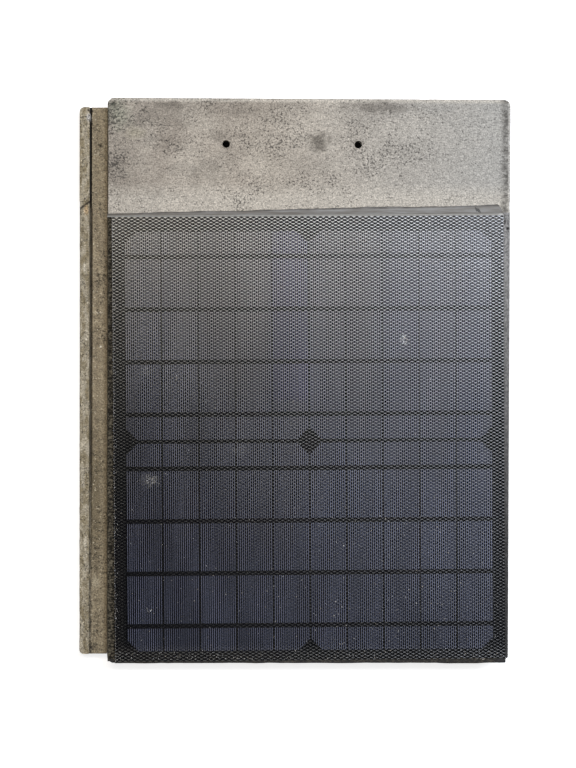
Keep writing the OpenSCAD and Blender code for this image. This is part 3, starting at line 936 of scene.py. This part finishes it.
def grit_mesh():
    """Loose grit and scuffs on the sheet, thickest along its tail and left edges, with a row of pale
    grains along the left edge as painted glints.
    """
    chance = random.Random(7)
    points, faces = [], []
    w, l = sheet_w / 2 - 1, sheet_l / 2 - 1

    def scatter(count, x, y, size):
        for _ in range(count):
            px, py, _ = on_laminate(chance.uniform(*x), chance.uniform(*y), 0)
            across, long, turn = chance.uniform(*size), chance.uniform(1, 1.6), chance.uniform(0, 3.1)
            grain(px, py, across, long, turn, points, faces)

    scatter(130, (-w, w), (-l, l), (0.3, 0.6))
    scatter(60, (-w, w), (-l - 0.5, -l + 3), (0.3, 0.6))
    # Pale grains in a row along the sheet's left edge, one every half pitch: painted glints of its cut
    # edge between the pits
    for k in range(int(2 * sheet_l / PIT_Y)):
        inset = 0.5 + chance.uniform(-0.2, 0.2)
        px, py, _ = on_laminate(-sheet_w / 2 + inset, -sheet_l / 2 + k * PIT_Y / 2, 0)
        grain(px, py, chance.uniform(0.35, 0.6), 1.3, 0, points, faces)
    scatter(170, (-w, w), (-l, -l + 120), (0.3, 0.6))
    scatter(50, (-w, w), (-l, -l + 6), (0.3, 0.7))
    scatter(45, (-40, w - 10), (-l + 10, -l + 110), (0.5, 0.8))
    scatter(60, (-w, -w + 2), (-l, l - 60), (0.3, 0.6))
    for x, y, length, turn in SCUFFS:
        turned = math.radians(turn)
        for _ in range(9):
            along = chance.uniform(-0.5, 0.5) * length
            px = x + along * math.cos(turned) + chance.uniform(-0.4, 0.4)
            py = y + along * math.sin(turned) + chance.uniform(-0.4, 0.4)
            grain(px, py, 0.3, chance.uniform(1.5, 4), turned, points, faces)
    return tidy_mesh("grit", points, faces)


def grit_material():
    """Pale mineral grit and dust, matt, each grain a little warmer or darker than the next."""
    made, tree, shader = new_material("mineral_grit_and_edge_glints", Roughness=0.9, IOR=1.5)
    place = add(tree, "TexCoord").outputs["Object"]
    warm = patches(tree, place, 1.5, 0.4, 0.6, detail=2.0)
    dark = patches(tree, place, 2.5, 0.55, 0.65, high=0.5, shift=6.0, detail=2.0)
    dress(tree, shader, coats(tree, "#c2c4c8", (warm, "#b4ab9c"), (dark, "#77746d")))
    return made


new_piece("grit", grit_mesh(), grit_material())


# ---------------------------------------------------------------- junction box

def box_material(name, colour):
    """Injection-moulded black polymer: a fine spark-eroded grain breaks up its gloss."""
    made, tree, shader = new_material(name, Roughness=0.5, IOR=1.5)
    place = add(tree, "TexCoord").outputs["Object"]
    # The grain is drawn at 0.6 mm, several times its real size, so that it shows
    eroded = add(tree, "TexNoise", {"Vector": place, "Scale": per(0.6), "Detail": 2.0})
    dress(tree, shader, linear(colour), eroded, 0.3, 0.1)
    return made


housing = box_material("moulded_housing", "#1c1c1e")
for name in ("junction_box", "junction_lid"):
    paint(name, housing)
outlets = box_material("moulded_outlet", "#161617")
for name in ("lead_outlet_left", "lead_outlet_right"):
    paint(name, outlets)


# ---------------------------------------------------------------- stage

def seen_background(tree):
    """1 where a camera, mirror or glass ray meets the background, for its plain white."""
    path = add(tree, "LightPath")
    seen = add(tree, "Math", {
        0: path.outputs["Is Camera Ray"], 1: path.outputs["Is Glossy Ray"]}, operation="MAXIMUM")
    return add(tree, "Math", {0: seen, 1: path.outputs["Is Transmission Ray"]}, operation="MAXIMUM")


def floor():
    """A large pale floor that keeps the tile's shadow."""
    size = 12
    mesh = bpy.data.meshes.new("floor")
    mesh.from_pydata([(-size, -size, 0), (size, -size, 0), (size, size, 0), (-size, size, 0)],
                     [], [(0, 1, 2, 3)])
    made = bpy.data.objects.new("floor", mesh)
    bpy.context.scene.collection.objects.link(made)
    material, tree = bare_material("pale_floor")
    # No lift under the tile, and the floor there is painted dark as painted shade, so that its nail holes
    # look down on shaded floor
    axes = add(tree, "SeparateXYZ", {"Vector": add(tree, "TexCoord").outputs["Object"]})
    reach = [add(tree, "Math", {
        0: add(tree, "Math", {0: axes.outputs[axis]}, operation="ABSOLUTE"),
        1: half * MM}, operation="DIVIDE") for axis, half in (("X", 135), ("Y", 190))]
    outside = add(tree, "MapRange", {
        "Value": add(tree, "Math", {0: reach[0], 1: reach[1]}, operation="MAXIMUM"),
        "From Min": 0.97, "From Max": 1.0})
    lift = add(tree, "Math", {0: seen_background(tree), 1: FLOOR_LIFT}, operation="MULTIPLY")
    lift = add(tree, "Math", {0: lift, 1: outside}, operation="MULTIPLY")
    paper = add(tree, "BsdfDiffuse", {"Color": coats(tree, "#2a2a2a", (outside, "#e6e6e6"))})
    glow = add(tree, "Emission", {"Color": linear("#ffffff"), "Strength": lift})
    both = add(tree, "AddShader", {0: paper, 1: glow})
    # From underneath the floor isn't seen, and it lets soft room light through to the hidden side
    under = add(tree, "NewGeometry").outputs["Backfacing"]
    soft = add(tree, "LightPath").outputs["Is Diffuse Ray"]
    open_to = add(tree, "Math", {0: under, 1: soft}, operation="MAXIMUM")
    either = add(tree, "MixShader", {0: open_to, 1: both, 2: add(tree, "BsdfTransparent")})
    add(tree, "OutputMaterial", {"Surface": either})
    mesh.materials.append(material)


def area_light(name, place, size, level, colour="#ffffff"):
    """A soft panel aimed at the tile. White paper under it, facing it, shows at that level."""
    lamp = bpy.data.lights.new(name, "AREA")
    lamp.shape = "RECTANGLE"
    lamp.size, lamp.size_y = size
    away = Vector(place)
    lamp.energy = level * math.pi * math.pi * away.length_squared
    lamp.color = linear(colour)[:3]
    made = bpy.data.objects.new(name, lamp)
    made.location = place
    made.rotation_euler = away.to_track_quat("Z", "Y").to_euler()
    made.visible_camera = False
    bpy.context.scene.collection.objects.link(made)


def world():
    """Dim room light. Mirrored, it is dark overhead and pale near the floor, as a studio is."""
    made = bpy.data.worlds.new("studio")
    bpy.context.scene.world = made
    made.use_nodes = True
    tree = made.node_tree
    tree.nodes.clear()
    path = add(tree, "LightPath")
    up = add(tree, "SeparateXYZ", {"Vector": add(tree, "TexCoord").outputs["Generated"]}).outputs["Z"]
    mirrored = add(tree, "MapRange", {
        "Value": up, "From Min": 0.3, "From Max": 0.75, "To Min": 0.9, "To Max": 0.05})
    level = add(tree, "Mix", {
        "Factor": path.outputs["Is Glossy Ray"], "A": ROOM_LIGHT, "B": mirrored}, data_type="FLOAT")
    level = add(tree, "Mix", {
        "Factor": path.outputs["Is Camera Ray"], "A": level, "B": 1.0}, data_type="FLOAT")
    light = add(tree, "Background", {"Color": linear("#ffffff"), "Strength": level})
    add(tree, "OutputWorld", {"Surface": light})


FLOOR_LIFT = 0.72
ROOM_LIGHT = 0.22

floor()
world()
# Metres. Two soft keys, a warm one to the left and a cool one to the right, stand past the head,
# clear of where the flat of the sheet would mirror them straight up, and the fill further right
area_light("warm_key", (-0.25, 0.6, 2.2), (0.7, 0.35), 0.24, "#fff1e0")
area_light("cool_key", (0.48, 0.6, 2.2), (0.7, 0.35), 0.4, "#f4f8ff")
area_light("fill", (1.3, 0.6, 1.9), (0.6, 0.6), 0.34, "#eef4ff")

view = bpy.context.scene.view_settings
view.view_transform = "Standard"
